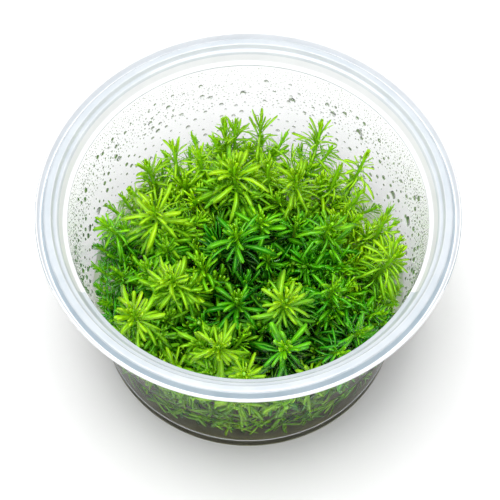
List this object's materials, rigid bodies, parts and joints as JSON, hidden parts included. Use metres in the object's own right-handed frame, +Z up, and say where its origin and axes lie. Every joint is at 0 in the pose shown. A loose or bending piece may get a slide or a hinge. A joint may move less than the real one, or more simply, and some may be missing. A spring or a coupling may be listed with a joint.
{
  "type": "tissue culture rotala in a clear cup",
  "caption": "Dense mound of narrow-leaved aquarium stem plants rooted in clear gel, in a round clear plastic culture cup with a stepped rim.",
  "frame": {"origin": "centre of the foot ring, on the surface that the cup stands on", "axes": "+Z up along the cup's axis; +X and +Y level, with -Y towards the picture's viewer"},
  "size_m": [0.101, 0.101, 0.0566],
  "materials": {
    "clear_plastic": "clear moulded plastic, glossy, faint mist on the inside of the wall",
    "nutrient_gel": "clear colourless gel, wet and smooth",
    "bright_shoot": "fresh yellow-green to mid-green narrow leaves, soft sheen",
    "deep_green_shoot": "mid to deep green narrow leaves on olive to reddish stems, soft sheen",
    "condensation": "clear water droplets"
  },
  "bodies": {
    "root": {"cup": "clear_plastic", "nutrient_gel": "nutrient_gel", "shoot_01": "deep_green_shoot", "shoot_02": "deep_green_shoot", "shoot_03": "deep_green_shoot", "shoot_04": "deep_green_shoot", "shoot_05": "deep_green_shoot", "shoot_06": "bright_shoot", "shoot_07": "deep_green_shoot", "shoot_08": "deep_green_shoot", "shoot_09": "bright_shoot", "shoot_10": "deep_green_shoot", "shoot_11": "deep_green_shoot", "shoot_12": "deep_green_shoot", "shoot_13": "deep_green_shoot", "shoot_14": "deep_green_shoot", "shoot_15": "deep_green_shoot", "shoot_16": "deep_green_shoot", "shoot_17": "deep_green_shoot", "shoot_18": "bright_shoot", "shoot_19": "bright_shoot", "shoot_20": "bright_shoot", "shoot_21": "bright_shoot", "shoot_22": "deep_green_shoot", "shoot_23": "bright_shoot", "shoot_24": "bright_shoot", "shoot_25": "deep_green_shoot", "shoot_26": "bright_shoot", "shoot_27": "deep_green_shoot", "shoot_28": "deep_green_shoot", "shoot_29": "bright_shoot", "shoot_30": "deep_green_shoot", "shoot_31": "deep_green_shoot", "shoot_32": "deep_green_shoot", "shoot_33": "bright_shoot", "shoot_34": "bright_shoot", "shoot_35": "deep_green_shoot", "shoot_36": "deep_green_shoot", "shoot_37": "bright_shoot", "shoot_38": "bright_shoot", "shoot_39": "deep_green_shoot", "shoot_40": "bright_shoot", "shoot_41": "bright_shoot", "shoot_42": "deep_green_shoot", "shoot_43": "bright_shoot", "shoot_44": "deep_green_shoot", "shoot_45": "deep_green_shoot", "shoot_46": "deep_green_shoot", "shoot_47": "deep_green_shoot"}
  },
  "joints": []
}
